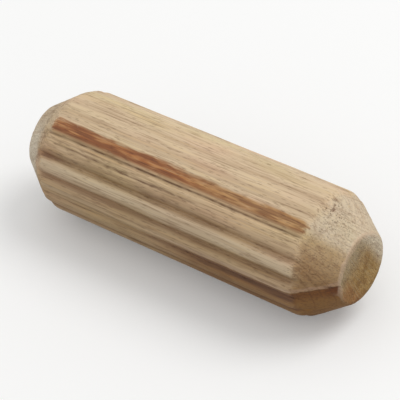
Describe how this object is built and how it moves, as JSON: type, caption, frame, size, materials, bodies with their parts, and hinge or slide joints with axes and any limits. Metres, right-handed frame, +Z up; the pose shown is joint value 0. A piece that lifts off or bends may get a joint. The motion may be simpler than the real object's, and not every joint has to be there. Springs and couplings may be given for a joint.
{
  "type": "dowel pin",
  "caption": "Short round wooden dowel pin with straight flutes along its sides and a tapered chamfer at both ends, pressed and glued into facing holes to join two boards.",
  "frame": {"origin": "middle of the pin's axis, halfway between the two end faces", "axes": "+X along the pin's axis, +Z up as the pin lies on its side, +Y across it"},
  "size_m": [0.03, 0.01, 0.01],
  "materials": {
    "beech": "bare planed hardwood, unfinished, with sawn end grain"
  },
  "bodies": {
    "root": {"dowel_pin": "beech"}
  },
  "joints": []
}
